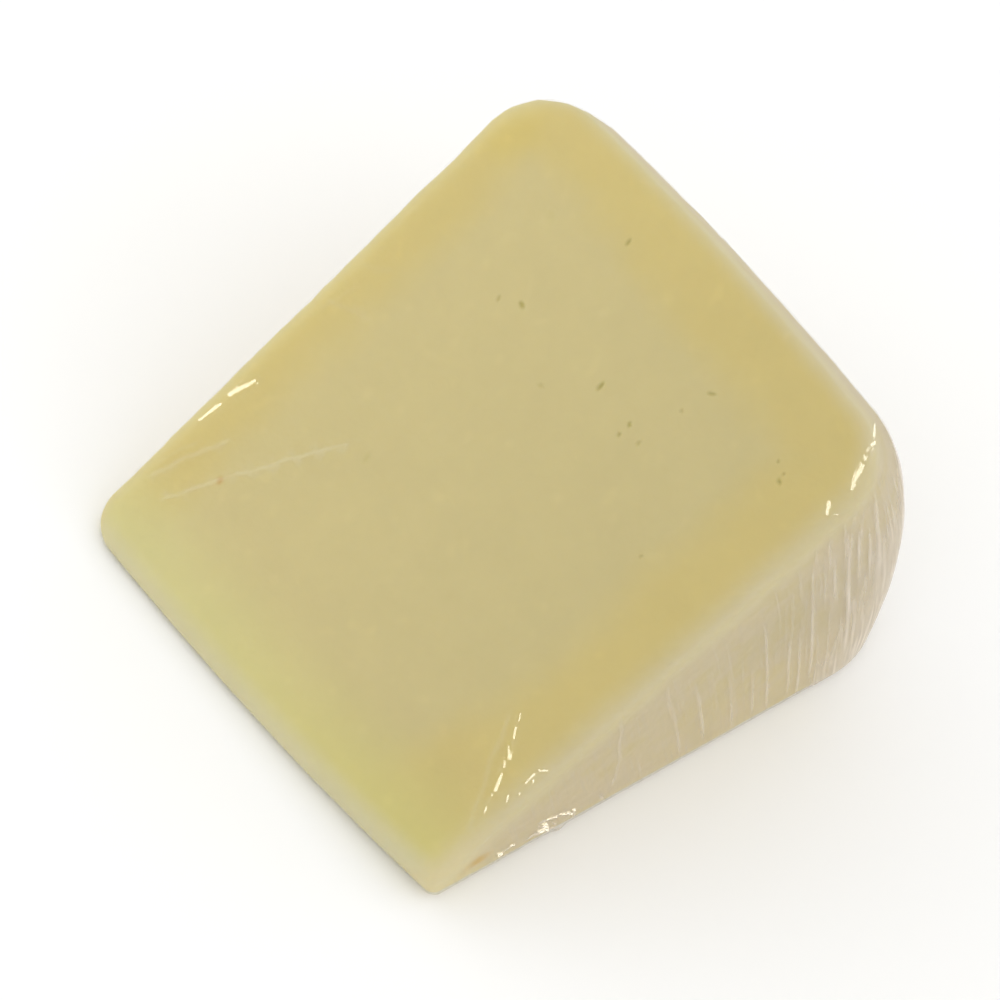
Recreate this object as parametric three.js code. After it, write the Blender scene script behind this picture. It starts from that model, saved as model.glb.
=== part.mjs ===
// A wedge of pressed sheep milk cheese, an eighth of a small wheel, wrapped in tight clear film.
//
// Millimetres, +Z up. The wedge lies on one of its two cut faces, with the other cut face sloping
// up from the thin end to the rim. The wheel's axis runs along Y through the thin end, and X runs
// from there to the rim. "Front" is the flat rind face that looks towards -Y, and "back" is the
// flat rind face that looks towards +Y. The solid's surface is the outside of the film.

import * as THREE from "three";
import { mergeVertices } from "three/addons/utils/BufferGeometryUtils.js";

// The wheel that the wedge was cut from
const WEDGE_ANGLE = THREE.MathUtils.degToRad(45);
const WHEEL_RADIUS = 100;
const WHEEL_HEIGHT = 80;

// Each flat side: its half of the height at the axis and at the rim, the rind's radius there, how
// far the cuts leave the thin end off the axis, the rounding at the rim, low down and where the
// upper cut face meets it, and the rounding at the thin end
const FRONT = {
  axisHalf: 39.2, rimHalf: 42.3, radius: 103, thinEnd: 9, rimRound: 16.3, cutRimRound: 9, endRound: 1.6,
};
const BACK = {
  axisHalf: 38.6, rimHalf: 39, radius: 100, thinEnd: 3.6, rimRound: 10.8, cutRimRound: 10.8, endRound: 6.4,
};

// The rounding at the rim changes mostly near the upper cut face: this power of the share of the
// way up round the wheel
const ROUND_CHANGE = 5;

const RIM_BULGE = 1.6;
const THIN_END_BULGE = 1.4;
const TOP_CUT_ROUND = 4;
const BOTTOM_CUT_ROUND = 1.4;

// Slow waves left in the faces by the cutting wire and the press cloth
const WAVE_HEIGHT = 0.15;
const WAVE_LENGTH = 52;
const WAVE_FADE_ABOVE_TABLE = 12;

// Folds where the film is gathered, and a dent (a negative height): from, to, half width and height
const FILM_FOLDS = [
  { from: [24, -40.2, 5], to: [34, -40.4, 3], width: 2.6, height: 0.8 },
  { from: [36, -40.4, 2.4], to: [42, -40.6, 2], width: 2.2, height: 0.4 },
  { from: [10, -39.4, 4], to: [14, -39.6, 10], width: 2.2, height: 0.4 },
  { from: [93, -35, 48], to: [98, -34, 30], width: 2.4, height: 0.4 },
  { from: [15, 39, 13], to: [24, 39, 22], width: 5, height: -0.7 },
];

// Mesh: rows along the radius, across the height and round the angle, closer towards the edges
const ROWS = { radius: 34, height: 28, angle: 18 };
const ROW_CLUSTERING = 0.34;

// The rays that find the surface start on an inner copy of this outer wedge, at this share of it
const OUTER = { nearRadius: 1, farRadius: 108, half: 46 };
const INNER_SHARE = 0.75;
const RAY_REACH = 1.3;
const RAY_STEPS = 40;

const clamp = THREE.MathUtils.clamp;
const lerp = THREE.MathUtils.lerp;

// The larger of two distances past a face, with the edge between the faces rounded
function roundMax(a, b, round) {
  const corner = Math.hypot(Math.max(a + round, 0), Math.max(b + round, 0));
  return Math.min(Math.max(a, b), -round) + corner;
}

function pastFlatSide(side, outwards, share, nearCut, pastRim, pastThinEnd) {
  const pastFlat = outwards - lerp(side.axisHalf, side.rimHalf, share);
  const rimEdge = roundMax(pastRim, pastFlat, lerp(side.rimRound, side.cutRimRound, nearCut));
  const thinEdge = roundMax(pastThinEnd, pastFlat, side.endRound);
  return Math.max(rimEdge, thinEdge);
}

function wave(point) {
  const turn = (2 * Math.PI) / WAVE_LENGTH;
  const alongRadius = Math.sin(turn * (point.x + 0.7 * point.y));
  const acrossHeight = Math.cos(turn * (0.8 * point.y - point.z));
  const fade = clamp(point.z / WAVE_FADE_ABOVE_TABLE, 0, 1);
  return WAVE_HEIGHT * fade * alongRadius * acrossHeight;
}

const foldLine = new THREE.Line3();
const nearest = new THREE.Vector3();

function foldHeight(point, fold) {
  foldLine.start.fromArray(fold.from);
  foldLine.end.fromArray(fold.to);
  foldLine.closestPointToPoint(point, true, nearest);
  const away = point.distanceTo(nearest) / fold.width;
  return fold.height * Math.exp(-away * away);
}

// Negative inside the wedge, positive outside, and zero on its surface
function pastSurface(point) {
  const { x, y, z } = point;
  const radius = Math.hypot(x, z);
  const share = radius / WHEEL_RADIUS;
  const nearCut = clamp(Math.atan2(z, x) / WEDGE_ANGLE, 0, 1) ** ROUND_CHANGE;
  const towardsFront = clamp(0.5 - y / WHEEL_HEIGHT, 0, 1);
  const bow = 1 - (2 * y / WHEEL_HEIGHT) ** 2;

  const rim = lerp(BACK.radius, FRONT.radius, towardsFront) + RIM_BULGE * bow;
  const thinEnd = lerp(BACK.thinEnd, FRONT.thinEnd, towardsFront) - THIN_END_BULGE * bow;
  const alongBisector = x * Math.cos(WEDGE_ANGLE / 2) + z * Math.sin(WEDGE_ANGLE / 2);
  const pastRim = radius - rim;
  const pastThinEnd = thinEnd - alongBisector;

  const rind = Math.max(
    pastFlatSide(FRONT, -y, share, nearCut, pastRim, pastThinEnd),
    pastFlatSide(BACK, y, share, nearCut, pastRim, pastThinEnd),
  );
  const pastTopCut = z * Math.cos(WEDGE_ANGLE) - x * Math.sin(WEDGE_ANGLE);
  const pastBottomCut = -z;
  const folds = FILM_FOLDS.reduce((sum, fold) => sum + foldHeight(point, fold), 0);
  const sides = roundMax(rind, pastTopCut, TOP_CUT_ROUND) - wave(point) - folds;
  return Math.max(sides, roundMax(rind, pastBottomCut, BOTTOM_CUT_ROUND));
}

// A point of the outer wedge from box coordinates between -1 and 1
function wedgePoint(box, share) {
  const radius = lerp(OUTER.nearRadius, OUTER.farRadius, (1 + box.x * share) / 2);
  const angle = (WEDGE_ANGLE * (1 + box.z * share)) / 2;
  return new THREE.Vector3(radius * Math.cos(angle), OUTER.half * box.y * share, radius * Math.sin(angle));
}

function surfacePoint(box) {
  const inner = wedgePoint(box, INNER_SHARE);
  const outer = wedgePoint(box, 1);
  let inside = 0;
  let outside = RAY_REACH;
  const point = new THREE.Vector3();
  for (let step = 0; step < RAY_STEPS; step++) {
    const middle = (inside + outside) / 2;
    point.lerpVectors(inner, outer, middle);
    if (pastSurface(point) < 0) {
      inside = middle;
    } else {
      outside = middle;
    }
  }
  return point.lerpVectors(inner, outer, inside);
}

// Rows drawn towards the edges of a face, where the rounding is
const cluster = (t) => t * (1 + ROW_CLUSTERING * (1 - t * t));

function wedgeGeometry() {
  const block = new THREE.BoxGeometry(2, 2, 2, ROWS.radius, ROWS.height, ROWS.angle);
  block.deleteAttribute("normal");
  block.deleteAttribute("uv");
  const geometry = mergeVertices(block);
  const position = geometry.getAttribute("position");
  const box = new THREE.Vector3();
  for (let i = 0; i < position.count; i++) {
    box.fromBufferAttribute(position, i);
    box.set(cluster(box.x), cluster(box.y), cluster(box.z));
    const point = surfacePoint(box);
    position.setXYZ(i, point.x, point.y, Math.max(point.z, 0));
  }
  geometry.computeVertexNormals();
  return geometry;
}

// Pale straw paste seen through the film
const wrappedPaste = new THREE.MeshStandardMaterial({ color: 0xc9bc86, roughness: 0.35, metalness: 0 });

const wedge = new THREE.Mesh(wedgeGeometry(), wrappedPaste);
wedge.name = "wrapped_wedge";

// The origin is the middle of the bounding box's underside
const middle = new THREE.Box3().setFromObject(wedge).getCenter(new THREE.Vector3());
wedge.position.set(-middle.x, -middle.y, 0);

const cheese = new THREE.Group();
cheese.add(wedge);

export default cheese;
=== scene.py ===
"""A wedge of pressed sheep milk cheese, wrapped in tight clear film, on a pale floor.

Shapes are worked out in millimetres in the wheel's frame: the wheel's axis is the line x = z = 0,
"front" is the flat rind face towards -Y, "back" the one towards +Y, and the upper cut face rises
from the thin end to the rim. Meshes are shifted into the row frame, in metres, when they are made.
"""

import bmesh
import bpy
import math
import numpy as np
from mathutils import Matrix, Vector


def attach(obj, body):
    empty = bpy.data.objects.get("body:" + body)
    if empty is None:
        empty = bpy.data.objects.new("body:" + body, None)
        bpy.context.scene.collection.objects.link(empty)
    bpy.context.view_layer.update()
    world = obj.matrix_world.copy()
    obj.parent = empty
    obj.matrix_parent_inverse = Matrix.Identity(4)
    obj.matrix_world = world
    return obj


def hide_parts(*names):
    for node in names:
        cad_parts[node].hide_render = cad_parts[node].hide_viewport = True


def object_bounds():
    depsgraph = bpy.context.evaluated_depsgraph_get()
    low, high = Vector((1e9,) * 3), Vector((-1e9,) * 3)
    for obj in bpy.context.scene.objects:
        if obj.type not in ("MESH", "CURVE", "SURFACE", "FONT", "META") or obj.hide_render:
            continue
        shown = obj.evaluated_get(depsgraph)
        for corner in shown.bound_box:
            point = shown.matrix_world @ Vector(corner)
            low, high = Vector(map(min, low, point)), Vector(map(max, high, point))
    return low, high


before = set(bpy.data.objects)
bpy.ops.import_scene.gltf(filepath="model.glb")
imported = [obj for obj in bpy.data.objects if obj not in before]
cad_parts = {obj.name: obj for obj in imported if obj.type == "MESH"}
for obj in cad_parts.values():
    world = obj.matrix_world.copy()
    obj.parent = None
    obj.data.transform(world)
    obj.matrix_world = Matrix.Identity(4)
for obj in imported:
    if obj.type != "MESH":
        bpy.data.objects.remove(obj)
cad_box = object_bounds()

MM = 0.001
WEDGE_NODE = "wrapped_wedge"

# The wheel that the wedge was cut from
WEDGE_ANGLE = math.radians(45)
WHEEL_RADIUS = 100
WHEEL_HEIGHT = 80
FRONT = dict(
    axis_half=39.2, rim_half=42.3, radius=103, thin_end=9,
    rim_round=16.3, cut_rim_round=9, end_round=1.6,
)
BACK = dict(
    axis_half=38.6, rim_half=39, radius=100, thin_end=3.6,
    rim_round=10.8, cut_rim_round=10.8, end_round=6.4,
)
ROUND_CHANGE = 5  # the rounding at the rim changes mostly near the upper cut face
RIM_BULGE = 1.6
THIN_END_BULGE = 1.4
TOP_CUT_ROUND = 4
BOTTOM_CUT_ROUND = 1.4
MIDDLE_RADIUS = 50  # half way from the thin end to the rim

# Rays from an inner wedge to an outer one find the surface
OUTER_NEAR, OUTER_FAR, OUTER_HALF = 1, 108, 46
INNER_SHARE = 0.75
RAY_REACH = 1.3
RAY_STEPS = 26
ROW_CLUSTERING = 0.34
ROWS = (84, 66, 38)  # along the radius, across the height, round the angle
PLAIN_SPACING = 1.2  # about how far apart the rows are

FILM_GAP = 0.17  # the film stands this far off the cheese
BOTTOM_LIFT = 0.25  # and this far off the floor between its folds
SEED = 11

# Colours as a screen shows them, 0 to 255
PASTE = (201, 186, 126)
UNDER_RIND = (205, 186, 112)
THIN_END = (206, 198, 132)
THIN_END_FRONT = (202, 191, 112)
THIN_END_EDGE = (205, 197, 154)
EDGE_BAND = (206, 193, 145)
EDGE_BAND_BACK = (202, 190, 134)
RIND = (199, 183, 142)
RIND_WARM = (197, 181, 132)
STAIN = (196, 158, 60)
SPECK = (192, 148, 60)
# painted shade inside the small holes of the paste
EYE_SHADE = (176, 164, 80)
FILM_HAZE = (238, 228, 214)
CUT_HAZE = (240, 233, 198)
FLOOR = (252, 252, 251)

# Lamps that the film's creases glint in, given by the direction they stand in
LOW_CREASE_LAMP = (-0.404, -0.539, 0.740)
BACK_EDGE_LAMP = (-0.296, 0.920, 0.257)
RIGHT_LAMP = (0.91, -0.35, 0.22)

# The camera looks at this point from this direction
AIM = (47.7, 0.5, 23.8)
CAMERA_AZIMUTH = math.radians(-59.25)
CAMERA_ELEVATION = math.radians(55.11)
CAMERA_ROLL = math.radians(24.23)


# ---------------------------------------------------------------- the wedge's form


def round_max(a, b, r):
    """The larger of two distances past a face, with the edge between the faces rounded."""
    corner = np.hypot(np.maximum(a + r, 0), np.maximum(b + r, 0))
    return np.minimum(np.maximum(a, b), -r) + corner


def mix(a, b, t):
    return a + (b - a) * t


def smooth(value, low, high):
    """A smooth step from 0, where value is low, to 1, where it is high."""
    t = np.clip((value - low) / (high - low), 0, 1)
    return t * t * (3 - 2 * t)


def past_rim_and_end(p):
    """How far points lie past the rim, and past the plane across the thin end."""
    x, y, z = p.T
    towards_front = np.clip(0.5 - y / WHEEL_HEIGHT, 0, 1)
    bow = 1 - (2 * y / WHEEL_HEIGHT) ** 2
    rim = mix(BACK["radius"], FRONT["radius"], towards_front) + RIM_BULGE * bow
    end = mix(BACK["thin_end"], FRONT["thin_end"], towards_front) - THIN_END_BULGE * bow
    along = x * math.cos(WEDGE_ANGLE / 2) + z * math.sin(WEDGE_ANGLE / 2)
    return np.hypot(x, z) - rim, end - along


def past_rind(p, with_end):
    """How far points lie past the rind, or past the rind and the thin end together."""
    past_rim, past_end = past_rim_and_end(p)
    share = np.hypot(p[:, 0], p[:, 2]) / WHEEL_RADIUS
    near_cut = np.clip(np.arctan2(p[:, 2], p[:, 0]) / WEDGE_ANGLE, 0, 1) ** ROUND_CHANGE
    sides = []
    for side, outwards in ((FRONT, -p[:, 1]), (BACK, p[:, 1])):
        past_flat = outwards - mix(side["axis_half"], side["rim_half"], share)
        past = round_max(past_rim, past_flat, mix(side["rim_round"], side["cut_rim_round"], near_cut))
        if with_end:
            past = np.maximum(past, round_max(past_end, past_flat, side["end_round"]))
        sides.append(past)
    return np.maximum(*sides)


def past_top_cut(p):
    return p[:, 2] * math.cos(WEDGE_ANGLE) - p[:, 0] * math.sin(WEDGE_ANGLE)


def past_surface(p):
    """Negative inside the wedge, positive outside, and zero on its surface."""
    past_sides = past_rind(p, with_end=True)
    top_edge = round_max(past_sides, past_top_cut(p), TOP_CUT_ROUND)
    return np.maximum(top_edge, round_max(past_sides, -p[:, 2], BOTTOM_CUT_ROUND))


def wedge_points(box, share):
    """Points of the outer wedge, or of a smaller copy, from box coordinates between -1 and 1."""
    radius = mix(OUTER_NEAR, OUTER_FAR, (1 + box[:, 0] * share) / 2)
    angle = WEDGE_ANGLE * (1 + box[:, 2] * share) / 2
    y = OUTER_HALF * box[:, 1] * share
    return np.stack([radius * np.cos(angle), y, radius * np.sin(angle)], 1)


def block_grid(rows):
    """The lattice points, from -1 to 1, and the quads of a closed block's faces."""
    points, quads, count = [], [], 0
    for axis in range(3):
        u, v = (axis + 1) % 3, (axis + 2) % 3
        for side in (0, rows[axis]):
            i, j = np.meshgrid(np.arange(rows[u] + 1), np.arange(rows[v] + 1), indexing="ij")
            face = np.zeros(i.shape + (3,), int)
            face[..., axis], face[..., u], face[..., v] = side, i, j
            index = count + np.arange(i.size).reshape(i.shape)
            corners = [index[:-1, :-1], index[1:, :-1], index[1:, 1:], index[:-1, 1:]]
            if side == 0:
                corners.reverse()
            points.append(face.reshape(-1, 3))
            quads.append(np.stack(corners, -1).reshape(-1, 4))
            count += i.size
    lattice, place = np.unique(np.concatenate(points), axis=0, return_inverse=True)
    t = 2 * lattice / np.array(rows) - 1
    return t * (1 + ROW_CLUSTERING * (1 - t * t)), place.reshape(-1)[np.concatenate(quads)]


def wedge_mesh():
    box, quads = block_grid(ROWS)
    inner, outer = wedge_points(box, INNER_SHARE), wedge_points(box, 1)
    low, high = np.zeros(len(box)), np.full(len(box), RAY_REACH)
    for _ in range(RAY_STEPS):
        middle = (low + high) / 2
        inside = past_surface(mix(inner, outer, middle[:, None])) < 0
        low, high = np.where(inside, middle, low), np.where(inside, high, middle)
    return mix(inner, outer, low[:, None]), quads


def outward(p, step=0.05):
    """The direction in which past_surface grows fastest, at each point."""
    slope = np.stack(
        [past_surface(p + step * axis) - past_surface(p - step * axis) for axis in np.eye(3)], 1
    )
    return slope / np.maximum(np.linalg.norm(slope, axis=1, keepdims=True), 1e-9)


def pull_to_surface(p, height=0.0, rounds=3):
    for _ in range(rounds):
        p = p + outward(p) * (height - past_surface(p))[:, None]
    return p


def camera_back():
    """The direction from the object to the camera."""
    a, e = CAMERA_AZIMUTH, CAMERA_ELEVATION
    return Vector((math.sin(a) * math.cos(e), -math.cos(a) * math.cos(e), math.sin(e)))


def on_cut(radius, y, angle=WEDGE_ANGLE):
    """A point of the upper cut face, or at a smaller angle of the rind below its edge."""
    return np.array([radius * math.cos(angle), y, radius * math.sin(angle)])


def on_front(x, z):
    """A point of the front rind face."""
    share = math.hypot(x, z) / WHEEL_RADIUS
    return np.array([x, -mix(FRONT["axis_half"], FRONT["rim_half"], share), z])


# ---------------------------------------------------------------- making objects

plain_points, plain_quads = wedge_mesh()
plain_middle = (plain_points.min(0) + plain_points.max(0)) / 2
cad_middle = (np.array(cad_box[0]) + np.array(cad_box[1])) / 2
SHIFT = np.array([cad_middle[0] - plain_middle[0] * MM, cad_middle[1] - plain_middle[1] * MM, 0])


def to_row(p):
    """Wheel-frame millimetres to row-frame metres."""
    return np.asarray(p) * MM + SHIFT


def to_wheel(p):
    return (np.asarray(p) - SHIFT) / MM


def inside_cad_box(p):
    """The same points, moved in where they would stand proud of the CAD box."""
    return np.clip(p, to_wheel(cad_box[0]), to_wheel(cad_box[1]))


def coordinates(mesh):
    flat = np.zeros(len(mesh.vertices) * 3)
    mesh.vertices.foreach_get("co", flat)
    return flat.reshape(-1, 3)


def set_coordinates(mesh, p):
    mesh.vertices.foreach_set("co", np.ascontiguousarray(p, dtype=np.float32).ravel())
    mesh.update()


def new_object(name, points, faces):
    mesh = bpy.data.meshes.new(name)
    mesh.from_pydata(to_row(points).tolist(), [], faces.tolist())
    piece = bpy.data.objects.new(name, mesh)
    bpy.context.scene.collection.objects.link(piece)
    return piece


def refine(piece, near, levels):
    """Splits the faces where near(points, level) is true, once for each level."""
    work = bmesh.new()
    work.from_mesh(piece.data)
    for level in range(levels):
        points = to_wheel(np.array([v.co for v in work.verts]))
        chosen = near(points, level)
        edges = [e for e in work.edges if chosen[e.verts[0].index] and chosen[e.verts[1].index]]
        if edges:
            bmesh.ops.subdivide_edges(work, edges=edges, cuts=1, use_grid_fill=True)
        work.verts.index_update()
    bmesh.ops.triangulate(work, faces=[f for f in work.faces if len(f.verts) > 4])
    work.to_mesh(piece.data)
    work.free()


def add_values(mesh, name, values):
    attribute = mesh.attributes.new(name, "FLOAT", "POINT")
    attribute.data.foreach_set("value", np.asarray(values, dtype=np.float32))


def add_vectors(mesh, name, vectors):
    attribute = mesh.attributes.new(name, "FLOAT_VECTOR", "POINT")
    attribute.data.foreach_set("vector", np.ascontiguousarray(vectors, dtype=np.float32).ravel())


def finish_piece(piece, material):
    piece.data.polygons.foreach_set("use_smooth", np.ones(len(piece.data.polygons), bool))
    piece.data.materials.append(material)
    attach(piece, "root")
    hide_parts(WEDGE_NODE)


def waves(p, length, count, seed):
    """Smooth random unevenness, about -1 to 1, with bumps of about that length in millimetres."""
    random = np.random.default_rng(seed)
    total = np.zeros(len(p))
    for _ in range(count):
        direction = random.normal(size=3)
        direction *= 2 * math.pi / (length * random.uniform(0.7, 1.5) * np.linalg.norm(direction))
        total += np.cos(p @ direction + random.uniform(0, 2 * math.pi))
    return total / math.sqrt(count)


def shifts(p, length, count, seed):
    """Smooth random shifts along the three axes, each of them waves with a seed of its own."""
    return np.stack([waves(p, length, count, seed + axis) for axis in range(3)], 1)


# ---------------------------------------------------------------- materials


def linear(colour):
    """A colour given as 0 to 255 for a screen, in the linear values that shaders take."""
    channels = [c / 255 for c in colour]
    return tuple(c / 12.92 if c <= 0.04045 else ((c + 0.055) / 1.055) ** 2.4 for c in channels) + (1.0,)


def colour_socket(sockets, name):
    return next(socket for socket in sockets if socket.name == name and socket.type == "RGBA")


class Nodes:
    """A material's node tree, with short calls for the nodes used here."""

    def __init__(self, name):
        self.material = bpy.data.materials.new(name)
        self.material.use_nodes = True
        self.tree = self.material.node_tree
        self.tree.nodes.clear()

    def add(self, kind, **settings):
        node = self.tree.nodes.new(kind)
        for name, value in settings.items():
            setattr(node, name, value)
        return node

    def link(self, value, socket):
        if isinstance(value, bpy.types.NodeSocket):
            self.tree.links.new(value, socket)
        elif isinstance(value, tuple):
            socket.default_value = linear(value)
        else:
            socket.default_value = value

    def value(self, name):
        return self.add("ShaderNodeAttribute", attribute_name=name).outputs["Fac"]

    def place(self, attribute=None):
        """Where a point is, in millimetres, or a vector that the mesh carries."""
        if attribute:
            return self.add("ShaderNodeAttribute", attribute_name=attribute).outputs["Vector"]
        scaled = self.add("ShaderNodeVectorMath", operation="SCALE")
        self.link(self.add("ShaderNodeTexCoord").outputs["Object"], scaled.inputs[0])
        scaled.inputs["Scale"].default_value = 1 / MM
        return scaled.outputs["Vector"]

    def math(self, operation, a, b=0.0, c=0.0):
        node = self.add("ShaderNodeMath", operation=operation)
        for socket, value in zip(node.inputs, (a, b, c)):
            self.link(value, socket)
        return node.outputs[0]

    def fade(self, value, low, high):
        """A smooth step from 0, where value is low, to 1, where it is high."""
        node = self.add("ShaderNodeMapRange", interpolation_type="SMOOTHSTEP")
        for name, v in (("Value", value), ("From Min", low), ("From Max", high)):
            self.link(v, node.inputs[name])
        return node.outputs["Result"]

    def noise(self, place, size, detail=1.0):
        """Noise with bumps of about that size, from -0.5 to 0.5."""
        node = self.add("ShaderNodeTexNoise")
        self.link(place, node.inputs["Vector"])
        node.inputs["Scale"].default_value = 1 / size
        node.inputs["Detail"].default_value = detail
        return self.math("SUBTRACT", node.outputs["Fac"], 0.5)

    def blend(self, share, a, b):
        """Colour a where share is 0, colour b where it is 1."""
        node = self.add("ShaderNodeMix", data_type="RGBA")
        self.link(share, node.inputs["Factor"])
        self.link(a, colour_socket(node.inputs, "A"))
        self.link(b, colour_socket(node.inputs, "B"))
        return colour_socket(node.outputs, "Result")

    def brighten(self, colour, amount):
        """The colour made lighter or darker by a share."""
        node = self.add("ShaderNodeVectorMath", operation="SCALE")
        self.link(colour, node.inputs[0])
        self.link(self.math("ADD", amount, 1.0), node.inputs["Scale"])
        return node.outputs["Vector"]

    def bump(self, height, distance):
        node = self.add("ShaderNodeBump")
        node.inputs["Distance"].default_value = distance * MM
        self.link(height, node.inputs["Height"])
        return node.outputs["Normal"]

    def mixed(self, share, a, b):
        """Shader a where share is 0, shader b where it is 1."""
        node = self.add("ShaderNodeMixShader")
        self.link(share, node.inputs[0])
        self.link(a.outputs[0], node.inputs[1])
        self.link(b.outputs[0], node.inputs[2])
        return node

    def finish(self, shader):
        self.link(shader.outputs[0], self.add("ShaderNodeOutputMaterial").inputs["Surface"])
        return self.material


# Sizes in millimetres of the unevenness in the cheese's colour
CLOUD_SIZE = 16
PATCH_SIZE = 5
FLECK_SIZE = 2.6
GRAIN_SIZE = 1.3

# How much lighter or darker that unevenness makes it
CLOUD_SHADE = 0.07
PATCH_SHADE = 0.05
FLECK_SHADE = 0.03
GRAIN_SHADE = 0.04

# Where each colour starts and where it is full, in millimetres of the value that it follows
UNDER_RIND_FADE = (14, 5)
THIN_END_FADE = (17, 1.5)
THIN_END_EDGE_FADE = (4.5, 0.3)
EDGE_BAND_FADE = (-5.2, 1.4)
RIND_FADE = (1.5, 9)
RIND_PAST_THIN_END_FADE = (2, 12)

# The same for shares of the unevenness, and how many millimetres it moves the fades by
RIND_WARM_FADE = (-0.1, 0.18)
FLECK_FADE = (0.2, 0.32)
DEPTH_WANDER = 9.0
THIN_END_WANDER = 4.0
EDGE_WANDER = 1.2

CHEESE_ROUGHNESS = 0.55
CHEESE_ROUGHNESS_CHANGE = 0.25
CHEESE_SPECULAR = 0.3
GRAIN_BUMP = 0.06
SUBSURFACE_SHARE = 0.3
SUBSURFACE_RADIUS = (1.0, 0.75, 0.35)
SUBSURFACE_SCALE = 2.5


def cheese_material():
    n = Nodes("cheese")
    place = n.place()
    cloud = n.noise(place, CLOUD_SIZE, 2)
    patch = n.noise(place, PATCH_SIZE, 2)
    grain = n.noise(place, GRAIN_SIZE, 1)
    fleck = n.noise(place, FLECK_SIZE, 0)

    uneven_depth = n.math("MULTIPLY_ADD", cloud, DEPTH_WANDER, n.value("depth"))
    colour = n.blend(n.fade(uneven_depth, *UNDER_RIND_FADE), PASTE, UNDER_RIND)
    thin_end = n.math("MULTIPLY_ADD", cloud, THIN_END_WANDER, n.value("thin_end"))
    thin_end_colour = n.blend(n.value("front"), THIN_END, THIN_END_FRONT)
    colour = n.blend(n.fade(thin_end, *THIN_END_FADE), colour, thin_end_colour)
    colour = n.blend(n.fade(n.value("thin_end"), *THIN_END_EDGE_FADE), colour, THIN_END_EDGE)
    edge = n.math("MULTIPLY_ADD", patch, EDGE_WANDER, n.value("edge"))
    edge_band_colour = n.blend(n.value("front"), EDGE_BAND_BACK, EDGE_BAND)
    colour = n.blend(n.fade(edge, *EDGE_BAND_FADE), colour, edge_band_colour)
    warm = n.fade(n.math("ADD", patch, cloud), *RIND_WARM_FADE)
    past_thin_end = n.fade(thin_end, *RIND_PAST_THIN_END_FADE)
    on_rind = n.math("MULTIPLY", n.fade(edge, *RIND_FADE), past_thin_end)
    colour = n.blend(on_rind, colour, n.blend(warm, RIND, RIND_WARM))
    shade = n.math("MULTIPLY_ADD", patch, PATCH_SHADE, n.math("MULTIPLY", grain, GRAIN_SHADE))
    shade = n.math("MULTIPLY_ADD", n.fade(fleck, *FLECK_FADE), FLECK_SHADE, shade)
    # painted shade towards the front and painted light low on it, with the darker patch of rind
    shade = n.math("ADD", n.value("painted_light_and_tone"), shade)
    colour = n.brighten(colour, n.math("MULTIPLY_ADD", cloud, CLOUD_SHADE, shade))
    colour = n.blend(n.value("stain"), colour, STAIN)
    colour = n.blend(n.value("speck"), colour, SPECK)
    # painted shade inside the eyes
    colour = n.blend(n.value("eye"), colour, EYE_SHADE)

    shader = n.add("ShaderNodeBsdfPrincipled")
    n.link(colour, shader.inputs["Base Color"])
    roughness = n.math("MULTIPLY_ADD", patch, CHEESE_ROUGHNESS_CHANGE, CHEESE_ROUGHNESS)
    n.link(roughness, shader.inputs["Roughness"])
    n.link(n.bump(grain, GRAIN_BUMP), shader.inputs["Normal"])
    shader.inputs["Subsurface Weight"].default_value = SUBSURFACE_SHARE
    shader.inputs["Subsurface Radius"].default_value = SUBSURFACE_RADIUS
    shader.inputs["Subsurface Scale"].default_value = SUBSURFACE_SCALE * MM
    shader.inputs["Specular IOR Level"].default_value = CHEESE_SPECULAR
    return n.finish(shader)


FILM_REFLECTANCE = 0.05  # seen straight on
FILM_EDGE_REFLECTANCE = 0.09
GRAZING_POWER = 5.0  # how fast the one turns into the other towards a grazing view
FILM_ROUGHNESS = 0.13

# The finest stretch lines: width, the noise values between which they show, milkiness and bump
STREAK_SIZE = 0.6
STREAK_FADE = (-0.04, 0.22)
STREAK_VEIL = 0.2
STREAK_BUMP = 0.05


def film_material():
    n = Nodes("clear_film")
    streak = n.noise(n.place("strand"), STREAK_SIZE, 1)
    stretched = n.value("stretched")
    lines = n.math("MULTIPLY", n.fade(streak, *STREAK_FADE), stretched)
    veil = n.math("MULTIPLY_ADD", lines, STREAK_VEIL, n.value("veil"))

    edge_on = n.add("ShaderNodeLayerWeight")
    edge_on.inputs["Blend"].default_value = 0.5
    grazing = n.math("POWER", edge_on.outputs["Facing"], GRAZING_POWER)
    more_at_edge = FILM_EDGE_REFLECTANCE - FILM_REFLECTANCE
    reflected = n.math("MULTIPLY_ADD", grazing, more_at_edge, FILM_REFLECTANCE)
    reflected = n.math("MULTIPLY", reflected, n.value("gloss"))

    gloss = n.add("ShaderNodeBsdfGlossy")
    gloss.inputs["Roughness"].default_value = FILM_ROUGHNESS
    n.link(n.bump(n.math("MULTIPLY", streak, stretched), STREAK_BUMP), gloss.inputs["Normal"])
    sheet = n.mixed(reflected, n.add("ShaderNodeBsdfTransparent"), gloss)
    haze = n.add("ShaderNodeBsdfDiffuse")
    n.link(n.blend(n.value("on_sides"), CUT_HAZE, FILM_HAZE), haze.inputs["Color"])
    return n.finish(n.mixed(veil, sheet, haze))
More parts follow.
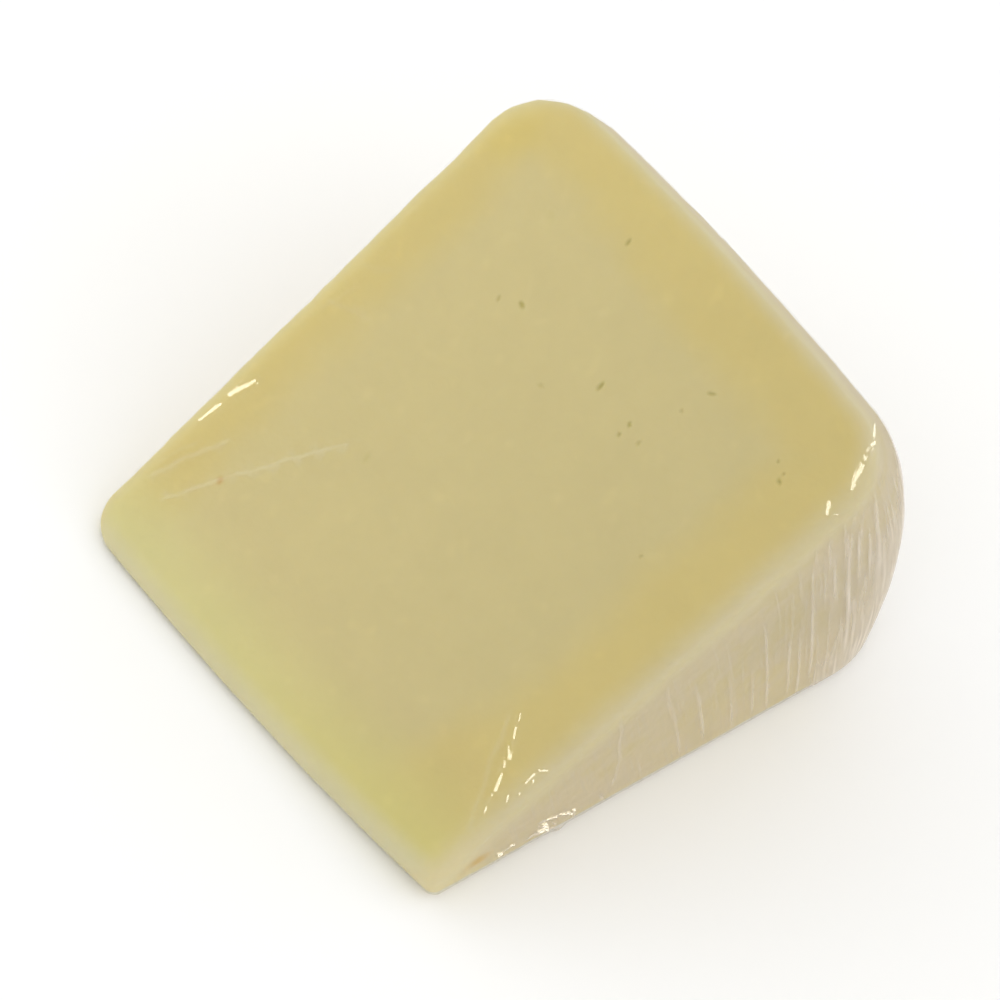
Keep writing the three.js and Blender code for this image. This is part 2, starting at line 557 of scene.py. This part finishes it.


# ---------------------------------------------------------------- the cheese

# Small openings in the paste: radius and height on the upper cut face, length, width, turn in
# degrees, and how dark they look from painted shade inside them, which also sets their depth
EYES = [
    (73.8, 17.4, 0.9, 0.5, 20, 0.5),
    (75.8, 14.3, 1.1, 0.7, 75, 1.0),
    (93.8, 9.8, 1.2, 0.5, 5, 0.9),
    (70.3, 3.4, 0.9, 0.5, 120, 0.4),
    (77.0, -2.9, 1.5, 0.6, 5, 1.0),
    (74.5, -10.1, 0.7, 0.5, 0, 0.7),
    (76.6, -10.1, 0.8, 0.6, 30, 0.9),
    (75.9, -13.1, 0.9, 0.5, 10, 0.5),
    (88.8, -15.4, 1.3, 0.5, 130, 0.8),
    (83.8, -14.1, 0.6, 0.4, 0, 0.5),
    (88.0, -31.7, 0.9, 0.6, 60, 0.9),
    (89.2, -31.4, 0.6, 0.4, 0, 0.6),
    (89.8, -29.5, 0.5, 0.4, 0, 0.6),
    (65.4, -25.6, 0.6, 0.4, 0, 0.5),
    (43.5, 14.0, 1.6, 0.8, 10, 0.25),
    (87.5, 20.9, 1.8, 1.4, 30, 0.12),
]
EYE_DEPTH = 0.25
EYE_SHADE_SHARE = 0.85
EYE_REACHES = (3.0, 2.2, 1.8)  # how far round an eye or speck each step makes the mesh finer

# An orange-brown stain on the front rind and its paler foot: middle, half sizes and strength
STAINS = [(on_front(17.1, 5.4), (1.8, 1.5, 1.5), 1.0), (on_front(14.7, 4.2), (1.0, 1.5, 1.6), 0.25)]

# A small brownish speck on the upper cut face
SPECKS = [(on_cut(24.1, 27.3), (0.65, 0.5, 0.65), 0.85)]

# A slightly darker patch of the front rind
DARK_PATCH = (on_front(73, 33), (15, 6, 13), 0.085)

# Painted light and shade: darker towards the front as if lit from the back, painted light low on the
# front where the floor shades it, and lighter near the thin end on the front
PAINTED_FRONT_SHADE = 0.075
PAINTED_LOW_FRONT_LIGHT = 0.06
FRONT_THIN_END_LIGHT = 0.06

# Unevenness of the surface: bump length and height everywhere, and on the rind alone
RELIEF_LENGTH, RELIEF_HEIGHT = 11, 0.05
RIND_RELIEF_LENGTH, RIND_RELIEF_HEIGHT = 3, 0.05
RELIEF_DROP = 0.1  # keeps the highest bumps under the film

# How many millimetres the pale edge band is narrower on the rim, and away from the front, and how
# much deeper the colour under the rind reaches at the front, and more near its thin end
RIM_BAND_CUT = 2.5
BACK_BAND_CUT = 0.7
FRONT_DEPTH = 3
FRONT_THIN_END_DEPTH = 5


def cut_face_axes():
    """Unit directions along the radius, along the height, and out of the upper cut face."""
    c, s = math.cos(WEDGE_ANGLE), math.sin(WEDGE_ANGLE)
    return np.array([[c, 0, s], [0, 1, 0], [-s, 0, c]])


def eye_share(p, eye):
    """1 in the middle of an eye and 0 outside it."""
    radius, y, length, width, turn, _ = eye
    along, across, _ = cut_face_axes() @ (p - on_cut(radius, y)).T
    c, s = math.cos(math.radians(turn)), math.sin(math.radians(turn))
    u, v = (along * c + across * s) / (length / 2), (across * c - along * s) / (width / 2)
    return np.clip(1.5 - np.hypot(u, v), 0, 1) * (np.abs(p @ cut_face_axes()[2]) < 3)


def near_eyes(p, level):
    centres = np.array([on_cut(eye[0], eye[1]) for eye in EYES] + [speck[0] for speck in SPECKS])
    away = np.min([np.linalg.norm(p - centre, axis=1) for centre in centres], axis=0)
    return away < EYE_REACHES[level]


def make_cheese():
    piece = new_object("cheese", pull_to_surface(plain_points, -FILM_GAP), plain_quads)
    refine(piece, near_eyes, len(EYE_REACHES))
    mesh = piece.data
    p = pull_to_surface(to_wheel(coordinates(mesh)), -FILM_GAP)
    depth = -past_rind(p, with_end=False)
    on_rind = np.clip(1 - depth / 2, 0, 1)
    relief = RELIEF_HEIGHT * waves(p, RELIEF_LENGTH, 14, SEED) - RELIEF_DROP
    relief += RIND_RELIEF_HEIGHT * on_rind * waves(p, RIND_RELIEF_LENGTH, 18, SEED + 1)
    relief = relief * np.clip(p[:, 2] / 3, 0, 1) - BOTTOM_LIFT * smooth(p[:, 2], 2, 0.3)
    shares = np.array([eye_share(p, eye) for eye in EYES])
    eye_darkness = np.array([eye[5] for eye in EYES])[:, None]
    relief -= EYE_DEPTH * (shares * np.minimum(1, eye_darkness + 0.2)).max(0)
    p = p + outward(p) * relief[:, None]
    set_coordinates(mesh, to_row(p))
    on_rim = smooth(np.hypot(p[:, 0], p[:, 2]), 94, 100) * smooth(np.abs(p[:, 1]), 38, 32)
    from_cuts = np.minimum(-past_top_cut(p), 2.5 * p[:, 2])
    towards_front = smooth(p[:, 1], 30, -38)
    band_cut = RIM_BAND_CUT * on_rim + BACK_BAND_CUT * (1 - towards_front)
    add_values(mesh, "edge", from_cuts - depth - band_cut)
    low_on_front = smooth(p[:, 2], 26, 3) * smooth(p[:, 1], -34, -39)
    from_thin_end = -past_rim_and_end(p)[1]
    deeper = FRONT_DEPTH + FRONT_THIN_END_DEPTH * smooth(from_thin_end, 40, 10)
    add_values(mesh, "depth", depth - towards_front * deeper)
    add_values(mesh, "front", towards_front)
    # painted light low on the front and painted shade towards the front, with the darker patch of rind
    painted_light_and_tone = PAINTED_LOW_FRONT_LIGHT * low_on_front - spot(p, *DARK_PATCH)
    painted_light_and_tone += towards_front * (FRONT_THIN_END_LIGHT * smooth(from_thin_end, 14, 3) - PAINTED_FRONT_SHADE)
    add_values(mesh, "painted_light_and_tone", painted_light_and_tone)
    add_values(mesh, "thin_end", from_thin_end)
    # painted shade inside the eyes
    add_values(mesh, "eye", EYE_SHADE_SHARE * (shares * eye_darkness).max(0))
    add_values(mesh, "stain", sum(spot(p, *stain) for stain in STAINS))
    add_values(mesh, "speck", sum(spot(p, *speck) for speck in SPECKS))
    finish_piece(piece, cheese_material())


def spot(p, middle, half_sizes, strength):
    away = np.linalg.norm((p - middle) / half_sizes, axis=1)
    return strength * np.exp(-(away**3))


# ---------------------------------------------------------------- the film


def fold(points, width, height, veil):
    """A crease along a path: half width, height, and how milky it is."""
    return dict(path=np.array(points), width=width, height=height, veil=veil)


# Creases that the film shows on the upper cut face, at its edges, and low on the front
FOLDS = [
    # along the edge with the back rind, near the thin end
    fold([on_cut(26.6, 35.9), on_cut(29.5, 35.8), on_cut(32.4, 35.3)], 0.7, 0.14, 0.08),
    fold([on_cut(32.2, 36.1), on_cut(35.7, 34.9), on_cut(39.4, 33.8)], 0.9, 0.2, 0.1),
    # long faint creases that fan out from there
    fold([on_cut(15.6, 35.9), on_cut(18.7, 34.5), on_cut(29.8, 30.4)], 0.42, 0.04, 0.2),
    fold([on_cut(17.5, 36.4), on_cut(26, 33.6)], 0.3, 0.03, 0.08),
    fold([on_cut(15, 31.5), on_cut(24.1, 27.4), on_cut(43.3, 17.1)], 0.33, 0.05, 0.26),
    fold([on_cut(53.8, 36.5), on_cut(57.5, 27.8)], 0.35, 0.05, 0.09),
    fold([on_cut(61, 36.5), on_cut(65, 31)], 0.35, 0.04, 0.06),
    fold([on_cut(46, 37), on_cut(60, 33.5)], 0.3, 0.03, 0.05),
    # a crease that crosses to the front rind near the thin end, and its fainter neighbour
    fold([on_cut(37.3, -29.8), on_cut(33.7, -32.3), on_cut(28.8, -34.9), on_cut(22.8, -37.3)],
         0.45, 0.12, 0.1),
    fold([on_cut(36.5, -28.8), on_cut(31, -31.3), on_cut(19.5, -37.6), on_cut(14.5, -38.6)],
         0.45, 0.06, 0.13),
    fold([on_cut(36, -39.2, 0.74), on_cut(33.4, -38.3), on_cut(30.6, -38.1, 0.77), on_cut(26.5, -38)],
         0.4, 0.12, 0.1),
    # at the corner of the rim and the front
    fold([on_cut(102.8, -34.3, 0.75), on_cut(102, -36.5, 0.76), on_cut(99.4, -38.1, 0.78),
          on_cut(95, -40, 0.78)], 0.5, 0.16, 0.15),
    fold([on_cut(92.2, -38.9), on_cut(90, -40.2, 0.78)], 0.5, 0.12, 0.12),
    # a soft milky band along the edge between the cut face and the front
    fold([on_cut(14.5, -39.5, 0.5), on_cut(16.7, -39.5, 0.619), on_cut(20.7, -39.6, 0.652),
          on_cut(25.4, -39.2, 0.725), on_cut(36.2, -39.6, 0.742), on_cut(47.4, -40.0, 0.75),
          on_cut(62, -40.4, 0.757), on_cut(80, -40.9, 0.765)], 0.7, 0.02, 0.08),
    # a milky patch at the front corner of the thin end
    fold([on_front(9.8, 1.5), on_front(10.6, 4), on_cut(13.2, -39.3, 0.6)], 2.4, 0.02, 0.07),
    # a gathered flap low on the front, near the thin end; the milky veil along its folded edges is
    # milky film and partly a painted highlight
    fold([on_front(27.5, 5.5), on_front(31, 4.4), on_front(34.8, 3.0)], 1.7, 0.3, 0.04),
    fold([on_front(32.2, 1.2), on_front(34.3, 1.2)], 0.9, 0.35, 0.15),
    fold([on_front(26.6, 7.6), on_front(28.4, 8), on_front(31, 6.9), on_front(34.3, 5.3),
          on_front(35.5, 3.4), on_front(35.8, 1.2)], 0.26, 0.4, 0.5),
    fold([on_front(25.6, 3.4), on_front(27.4, 4.4), on_front(30.2, 3.9), on_front(32.6, 2.9)],
         0.24, 0.3, 0.5),
    fold([on_front(30.3, 5.8), on_front(32.5, 3.1)], 0.2, 0.2, 0.35),
    fold([on_front(27.6, 6.9), on_front(29, 5.9)], 0.5, 0.2, 0.5),
    fold([on_front(20.2, 3.9), on_front(22, 4.6), on_front(24.2, 5.0)], 0.3, 0.25, 0.3),
    # a milky line down the front that leans the other way from the stretch lines, and a short one
    fold([on_front(34.8, 33.1), on_front(37.8, 23.2), on_front(40.4, 14.4), on_front(42, 5.5)],
         0.34, 0.04, 0.2),
    fold([on_front(39.6, 6.7), on_front(41.5, 1.6)], 0.3, 0.04, 0.2),
]

# Small flat strips in those creases that mirror a lamp to the camera: from, to, half width, lamp
GLINTS = [
    (on_cut(36.9, -30.1), on_cut(35.9, -31.0), 0.16, LOW_CREASE_LAMP),
    (on_cut(35.0, -31.2), on_cut(33.7, -32.3), 0.22, LOW_CREASE_LAMP),
    (on_cut(32.6, -32.5), on_cut(31.2, -34.0), 0.36, LOW_CREASE_LAMP),
    (on_cut(30.6, -33.7), on_cut(29.9, -34.4), 0.2, LOW_CREASE_LAMP),
    (on_cut(29.0, -34.9), on_cut(26.5, -36.0), 0.38, LOW_CREASE_LAMP),
    (on_cut(26.0, -35.9), on_cut(25.7, -36.2), 0.16, LOW_CREASE_LAMP),
    (on_cut(23.8, -36.9), on_cut(22.9, -37.4), 0.3, LOW_CREASE_LAMP),
    (on_cut(31.9, -38.5, 0.76), on_cut(31.4, -38.8, 0.757), 0.15, LOW_CREASE_LAMP),
    (on_cut(29.1, -38.5, 0.757), on_cut(28.6, -38.7, 0.754), 0.13, LOW_CREASE_LAMP),
    (on_cut(27.6, -37.7, 0.773), on_cut(26.7, -38.2, 0.761), 0.19, LOW_CREASE_LAMP),
    (on_cut(33.4, -38.1, 0.771), on_cut(34.3, -38.9, 0.756), 0.22, LOW_CREASE_LAMP),
    (on_cut(30.6, -38.0, 0.770), on_cut(32.8, -38.1, 0.771), 0.19, LOW_CREASE_LAMP),
    (on_cut(102.9, -34.3, 0.75), on_cut(102.3, -35.9, 0.757), 0.3, RIGHT_LAMP),
    (on_cut(101.9, -36.6, 0.759), on_cut(101.0, -37.0, 0.772), 0.3, RIGHT_LAMP),
    (on_cut(101.0, -36.9, 0.773), on_cut(100.4, -37.3, 0.775), 0.3, LOW_CREASE_LAMP),
    (on_cut(100.2, -37.5, 0.776), on_cut(99.5, -38.0, 0.778), 0.38, LOW_CREASE_LAMP),
    (on_cut(99.2, -38.2, 0.778), on_cut(96.7, -39.2, 0.782), 0.42, LOW_CREASE_LAMP),
    (on_cut(96.6, -39.3, 0.782), on_cut(95.3, -39.9, 0.780), 0.32, LOW_CREASE_LAMP),
    (on_cut(91.7, -39.1), on_cut(90.2, -40.0, 0.778), 0.36, LOW_CREASE_LAMP),
    (on_cut(90.7, -40.6, 0.775), on_cut(91.3, -41.1, 0.770), 0.12, LOW_CREASE_LAMP),
    (on_cut(33.3, 35.6, 0.782), on_cut(37.9, 34.4), 0.52, BACK_EDGE_LAMP),
    (on_cut(27.4, 35.9, 0.778), on_cut(31.7, 35.7, 0.782), 0.36, BACK_EDGE_LAMP),
    (on_front(28.4, 8.0), on_front(31.0, 6.9), 0.13, RIGHT_LAMP),
    (on_front(31.3, 6.8), on_front(34.2, 5.4), 0.13, RIGHT_LAMP),
    (on_front(34.1, 5.9), on_front(34.8, 5.5), 0.16, RIGHT_LAMP),
    (on_front(27.6, 5.4), on_front(29.9, 4.4), 0.22, RIGHT_LAMP),
    (on_front(28.1, 6.9), on_front(28.9, 6.5), 0.26, RIGHT_LAMP),
    (on_front(20.3, 4.7), on_front(21.4, 4.2), 0.19, RIGHT_LAMP),
    (on_front(22.6, 5.3), on_front(23.6, 4.9), 0.13, RIGHT_LAMP),
]
DULL_CORNER = (92, 36.2)  # radius and height on the upper cut face of a spot that doesn't shine
BACK_EDGE_DULLNESS = 0.8  # and how much less the edge with the back rind shines, outside its glints
STREAKS_INSIDE = 0.4  # how strong the finest stretch lines are away from the rim
GLINT_LOWEST = -0.1  # a glint's strip is lifted so that none of it sinks deeper than this

# The film's mesh is made finer until its spacing is under this share of a feature's half width
FINE_STRAND = 0.8
FINE_FOLD = 0.7
FINE_GLINT = 0.5
FINEST_LEVEL = 4  # the spacing is halved this many times at most

# Milkiness of the film: everywhere, on all sides, near the rim and low on the front
VEIL = 0.015
SIDE_VEIL = 0.02
NEAR_RIM_VEIL = 0.42
LOW_FRONT_VEIL = 0.09

# Unevenness of the film: bump length and height everywhere, and of its stretched parts
FILM_WAVE_LENGTH, FILM_WAVE_HEIGHT = 7, 0.03
STRETCH_WAVE_LENGTH, STRETCH_WAVE_HEIGHT = 2.0, 0.03
FILM_DROP = 0.05  # keeps the highest bumps inside the solid
HIGHEST_FOLD = 1.0

# How far creases and glints wander off their paths, and over what length
FOLD_WANDER, FOLD_WANDER_LENGTH = 0.16, 5
GLINT_WANDER, GLINT_WANDER_LENGTH = 0.04, 1.2

STRAND_STRETCH = 0.04  # how little the film's stretch lines change along their length

# Strong stretch lines on the front: where they meet the floor, the heights that they reach
# between, half width, height, and how milky they are
STRANDS = [
    (57.0, 3, 34, 0.36, 0.06, 0.18),
    (61.5, 3, 32, 0.36, 0.06, 0.22),
    (67.0, 2, 26, 0.4, 0.06, 0.2),
    (70.8, 3, 22, 0.22, 0.04, 0.2),
    (73.5, 4, 38, 0.22, 0.05, 0.34),
    (77.6, 3, 26, 0.22, 0.04, 0.28),
    (79.5, 3, 24, 0.22, 0.04, 0.28),
    (81.7, 5, 48, 0.22, 0.05, 0.28),
    (82.6, 36, 56, 0.2, 0.03, 0.14),
    (83.9, 33, 53, 0.2, 0.03, 0.16),
    (85.7, 30, 52, 0.2, 0.03, 0.16),
    (88.3, 8, 54, 0.24, 0.05, 0.32),
    (90.1, 35, 55, 0.22, 0.03, 0.16),
    (92.5, 30, 52, 0.24, 0.03, 0.18),
    (95.3, 32, 64, 0.34, 0.04, 0.22),
    (96.6, 20, 48, 0.3, 0.04, 0.2),
]
RANDOM_STRANDS = 150  # much weaker on the front
FINE_STRANDS = 26  # close together, on the front towards the rim


def halfway(lamp):
    """The direction a surface faces when it mirrors a lamp to the camera."""
    both = np.array(Vector(lamp).normalized() + camera_back())
    return both / np.linalg.norm(both)


def strand_place(p):
    """Coordinates in which the film's stretch lines run straight: two round the wedge, one up it."""
    x, y, z = p.T
    lean = mix(0.42, 0.2, np.clip((x - 45) / 50, 0, 1))
    leaning = x + lean * z + 0.002 * smooth(x, 60, 95) * z**2
    around = np.arctan2(y, leaning - MIDDLE_RADIUS)
    up = z + past_rind(p, with_end=True)
    return around, up


def strand_angle(foot):
    """The angle round the wedge of a stretch line on the front that meets the floor at x = foot."""
    return math.atan2(on_front(foot, 0)[1], foot - MIDDLE_RADIUS)


def all_strands():
    """The strong strands and many weaker ones all the way round, as angles instead of feet."""
    strands = []
    for foot, *rest in STRANDS:
        strands.append((strand_angle(foot), *rest))
    random = np.random.default_rng(SEED + 5)
    for _ in range(RANDOM_STRANDS):
        low = random.uniform(-26, 22)
        high = low + random.uniform(15, 50)
        width, height = random.uniform(0.4, 0.8), random.uniform(0.01, 0.05)
        angle = random.uniform(-math.pi, math.pi)
        if strand_angle(10) < angle < strand_angle(100):
            height *= 0.3
        strands.append((angle, low, high, width, height, 1.6 * height))
    for _ in range(FINE_STRANDS):
        low, high = random.uniform(12, 36), random.uniform(44, 62)
        width, milky = random.uniform(0.3, 0.5), random.uniform(0.03, 0.1)
        strands.append((strand_angle(random.uniform(82, 100)), low, high, width, 0.01, milky))
    return strands


def add_strands(around, up, on_sides):
    """Height and milkiness that the strands add to the film."""
    height, veil = np.zeros(len(up)), np.zeros(len(up))
    for angle, low, high, width, tall, milky in all_strands():
        away = (around - angle) * MIDDLE_RADIUS
        ends = smooth(up, low - 3, low + 6) * smooth(up, high + 5, high - 9)
        shape = np.exp(-((away / width) ** 2)) * ends
        height += tall * shape * on_sides
        veil += milky * shape * on_sides
    return height, veil


def fold_shape(p, crease):
    """Height of a crease at each point, as a share of its full height."""
    shape = np.zeros(len(p))
    reach = crease["width"] * 4
    path = crease["path"]
    near = np.all((p > path.min(0) - reach) & (p < path.max(0) + reach), axis=1)
    away, along, length = line_distance(p[near], path)
    taper = smooth(np.minimum(along, length - along), -0.2, min(1.6, length / 3))
    shape[near] = np.exp(-((away / crease["width"]) ** 2)) * taper
    return shape


def line_distance(p, path):
    """Distance of points from a path, how far along it they are, and its length."""
    best, along, done = np.full(len(p), np.inf), np.zeros(len(p)), 0.0
    for a, b in zip(path[:-1], path[1:]):
        length = np.linalg.norm(b - a)
        t = np.clip(((p - a) @ (b - a)) / length**2, 0, 1)
        away = np.linalg.norm(p - (a + t[:, None] * (b - a)), axis=1)
        nearer = away < best
        best = np.where(nearer, away, best)
        along = np.where(nearer, done + t * length, along)
        done += length
    return best, along, done


def near_folds(p, level):
    """Where the film's mesh is made finer: in steps, until it is fine enough for what is there."""
    spacing = PLAIN_SPACING / 2**level
    sides = past_rind(p, with_end=True) > -1.2
    chosen = sides & (p[:, 1] < -25) if level == 0 else np.zeros(len(p), bool)
    around, up = strand_place(p)
    for foot, low, high, width, *_ in STRANDS:
        if spacing > FINE_STRAND * width:
            away = np.abs(around - strand_angle(foot)) * MIDDLE_RADIUS
            chosen |= sides & (away < 1.3 * width + 0.8 * spacing) & (low - 2 < up) & (up < high)
    for crease in FOLDS:
        if spacing > FINE_FOLD * crease["width"]:
            choose_near(chosen, p, crease["path"], 1.8 * crease["width"] + 0.8 * spacing)
    for start, end, half_width, _ in GLINTS:
        if spacing > FINE_GLINT * half_width:
            choose_near(chosen, p, np.array([start, end]), 1.6 * half_width + spacing)
    return chosen


def choose_near(chosen, p, path, reach):
    near = np.flatnonzero(np.all((p > path.min(0) - reach) & (p < path.max(0) + reach), axis=1))
    chosen[near[line_distance(p[near], path)[0] < reach]] = True


def glint_length(glint):
    start, end, *_ = glint
    return np.linalg.norm(end - start)


def flatten_glints(p, wandering, height):
    """Turns the film flat along each glint, so that the camera sees the lamp in it.

    The short ones come last, because they would be lost under the ends of long ones.
    """
    out = outward(p)
    shares = np.zeros(len(p))
    for start, end, half_width, lamp in sorted(GLINTS, key=glint_length, reverse=True):
        middle, half = (start + end) / 2, (end - start) / 2
        half_length = np.linalg.norm(half)
        near = np.flatnonzero(np.linalg.norm(p - middle, axis=1) < 2 * (half_length + half_width))
        from_middle = wandering[near] - middle
        along = from_middle @ half / half_length
        across = np.linalg.norm(from_middle - along[:, None] * half / half_length, axis=1)
        past_end = np.maximum(np.abs(along) - 0.9 * half_length, 0)
        share = smooth(np.hypot(past_end, across) / half_width, 1.7, 0.85)
        facing = halfway(lamp)
        level = ((middle - p[near]) @ facing) / np.maximum(out[near] @ facing, 0.2)
        level += max(0, GLINT_LOWEST - level[share > 0.5].min(initial=0))
        height[near] = mix(height[near], level, share)
        shares[near] = np.maximum(shares[near], share)
    return shares


def make_film():
    piece = new_object("film", plain_points, plain_quads)
    refine(piece, near_folds, FINEST_LEVEL)
    mesh = piece.data
    p = pull_to_surface(to_wheel(coordinates(mesh)))
    around, up = strand_place(p)
    round_x, round_y = np.cos(around) * MIDDLE_RADIUS, np.sin(around) * MIDDLE_RADIUS
    strand = np.stack([round_x, round_y, up * STRAND_STRETCH], 1)
    radius = np.hypot(p[:, 0], p[:, 2])
    past_sides = past_rind(p, with_end=True)
    on_sides = smooth(past_sides, -2.5, -0.2)
    on_bottom = smooth(p[:, 2], 1.5, 0.2) * smooth(past_sides, -0.3, -1.2)
    from_middle = np.hypot(p[:, 0] - MIDDLE_RADIUS, p[:, 1])
    on_rim_top = smooth(radius, 98, 101) * smooth(past_top_cut(p), -26, -10)
    from_cut = smooth(past_top_cut(p), -2.5, -8)
    on_corner = smooth(radius, 97, 101) * smooth(p[:, 1], -22, -36)
    stretched = on_sides * from_cut * (1 - on_rim_top) * (1 - 0.7 * on_corner)
    stretched = np.maximum(stretched, 0.8 * on_bottom * smooth(from_middle, 6, 24))

    height, veil = add_strands(around, up, stretched)
    ridges = np.clip(waves(strand, STRETCH_WAVE_LENGTH, 24, SEED + 3), 0, None)
    height += STRETCH_WAVE_HEIGHT * stretched * ridges
    wandering = p + FOLD_WANDER * shifts(p, FOLD_WANDER_LENGTH, 9, SEED + 20)
    for crease in FOLDS:
        shape = fold_shape(wandering, crease)
        height += crease["height"] * shape
        veil += crease["veil"] * shape
    height += FILM_WAVE_HEIGHT * waves(p, FILM_WAVE_LENGTH, 16, SEED + 2) - FILM_DROP
    wobble = p + GLINT_WANDER * shifts(p, GLINT_WANDER_LENGTH, 12, SEED + 30)
    in_glint = flatten_glints(p, wobble, height)
    height = np.minimum(height - BOTTOM_LIFT * on_bottom, mix(HIGHEST_FOLD, 0.0, on_bottom))
    p = inside_cad_box(p + outward(p) * height[:, None])
    near_rim = on_sides * (1 - on_rim_top) * smooth(p[:, 0], 76, 92) * smooth(p[:, 1], -22, -36)
    low_on_front = on_sides * smooth(p[:, 2], 18, 6) * smooth(p[:, 1], -34, -39)
    veil += VEIL + SIDE_VEIL * on_sides + NEAR_RIM_VEIL * near_rim + LOW_FRONT_VEIL * low_on_front
    set_coordinates(mesh, to_row(p))
    add_values(mesh, "veil", np.clip(veil, 0, 0.95) * (1 - in_glint))
    add_values(mesh, "on_sides", on_sides * smooth(radius, 12, 30))
    from_dull_corner = np.linalg.norm(p - on_cut(*DULL_CORNER), axis=1)
    on_back_edge = smooth(p[:, 1], 34, 37.5) * smooth(past_top_cut(p), -9, -4)
    dull_edge = BACK_EDGE_DULLNESS * on_back_edge * (1 - in_glint)
    add_values(mesh, "gloss", smooth(from_dull_corner, 3, 8) * (1 - dull_edge))
    stronger_at_rim = mix(STREAKS_INSIDE, 1.0, smooth(radius, 68, 88))
    add_values(mesh, "stretched", stretched * (1 - in_glint) * stronger_at_rim)
    add_vectors(mesh, "strand", strand)
    finish_piece(piece, film_material())


# ---------------------------------------------------------------- floor, light and camera

FLOOR_HALF = 4.0
FLOOR_DROP = 0.0002
LAMP_COLOUR = (1, 0.95, 0.82)
LAMP_RADIANCE = 14
LAMP_DISTANCE = 1.5
LAMP_SIZE = 0.3
SOFTBOX = dict(direction=(-0.35, 0.85, 0.5), distance=0.42, size=0.34, power=0.2)
FILL = dict(direction=(0.5, -0.85, 0.5), distance=1.0, size=0.8, power=0.9)
SKY_STRENGTH = 1.0
CAMERA_DISTANCE = 1.2
CAMERA_LENS = 294.4
SENSOR = 36


def make_floor():
    mesh = bpy.data.meshes.new("floor")
    sides = ((-1, -1), (1, -1), (1, 1), (-1, 1))
    corners = [(x * FLOOR_HALF, y * FLOOR_HALF, -FLOOR_DROP) for x, y in sides]
    mesh.from_pydata(corners, [], [(0, 1, 2, 3)])
    floor = bpy.data.objects.new("floor", mesh)
    bpy.context.scene.collection.objects.link(floor)
    n = Nodes("floor")
    shader = n.add("ShaderNodeBsdfPrincipled")
    shader.inputs["Base Color"].default_value = linear(FLOOR)
    shader.inputs["Roughness"].default_value = 0.8
    mesh.materials.append(n.finish(shader))


def make_light(name, direction, distance, size, power):
    light = bpy.data.lights.new(name, "AREA")
    light.size = size
    light.energy = power
    lamp = bpy.data.objects.new(name, light)
    away = Vector(direction).normalized()
    lamp.location = away * distance
    lamp.rotation_euler = away.to_track_quat("Z", "Y").to_euler()
    bpy.context.scene.collection.objects.link(lamp)
    return lamp


def make_glint_lamp(name, direction):
    """A lamp that shows only where the film mirrors it."""
    power = LAMP_RADIANCE * math.pi * LAMP_SIZE**2
    lamp = make_light(name, direction, LAMP_DISTANCE, LAMP_SIZE, power)
    lamp.data.color = LAMP_COLOUR
    lamp.visible_diffuse = False


def make_sky():
    world = bpy.data.worlds.new("studio")
    world.use_nodes = True
    background = world.node_tree.nodes["Background"]
    background.inputs["Color"].default_value = (1, 1, 1, 1)
    background.inputs["Strength"].default_value = SKY_STRENGTH
    bpy.context.scene.world = world


def make_camera():
    back = camera_back()
    level_right = Vector((0, 0, 1)).cross(back).normalized()
    level_up = back.cross(level_right)
    right = level_right * math.cos(CAMERA_ROLL) + level_up * math.sin(CAMERA_ROLL)
    up = back.cross(right)
    data = bpy.data.cameras.new("camera")
    data.sensor_width = SENSOR
    data.lens = CAMERA_LENS
    camera = bpy.data.objects.new("camera", data)
    turn = Matrix((right, up, back)).transposed().to_4x4()
    camera.matrix_world = Matrix.Translation(Vector(to_row(AIM)) + back * CAMERA_DISTANCE) @ turn
    bpy.context.scene.collection.objects.link(camera)
    bpy.context.scene.camera = camera


make_cheese()
make_film()
make_floor()
make_glint_lamp("low_crease_lamp", LOW_CREASE_LAMP)
make_glint_lamp("back_edge_lamp", BACK_EDGE_LAMP)
make_glint_lamp("right_lamp", RIGHT_LAMP)
make_light("softbox", **SOFTBOX).visible_glossy = False
make_light("fill", **FILL).visible_glossy = False
make_sky()
make_camera()
bpy.context.scene.view_settings.view_transform = "Standard"
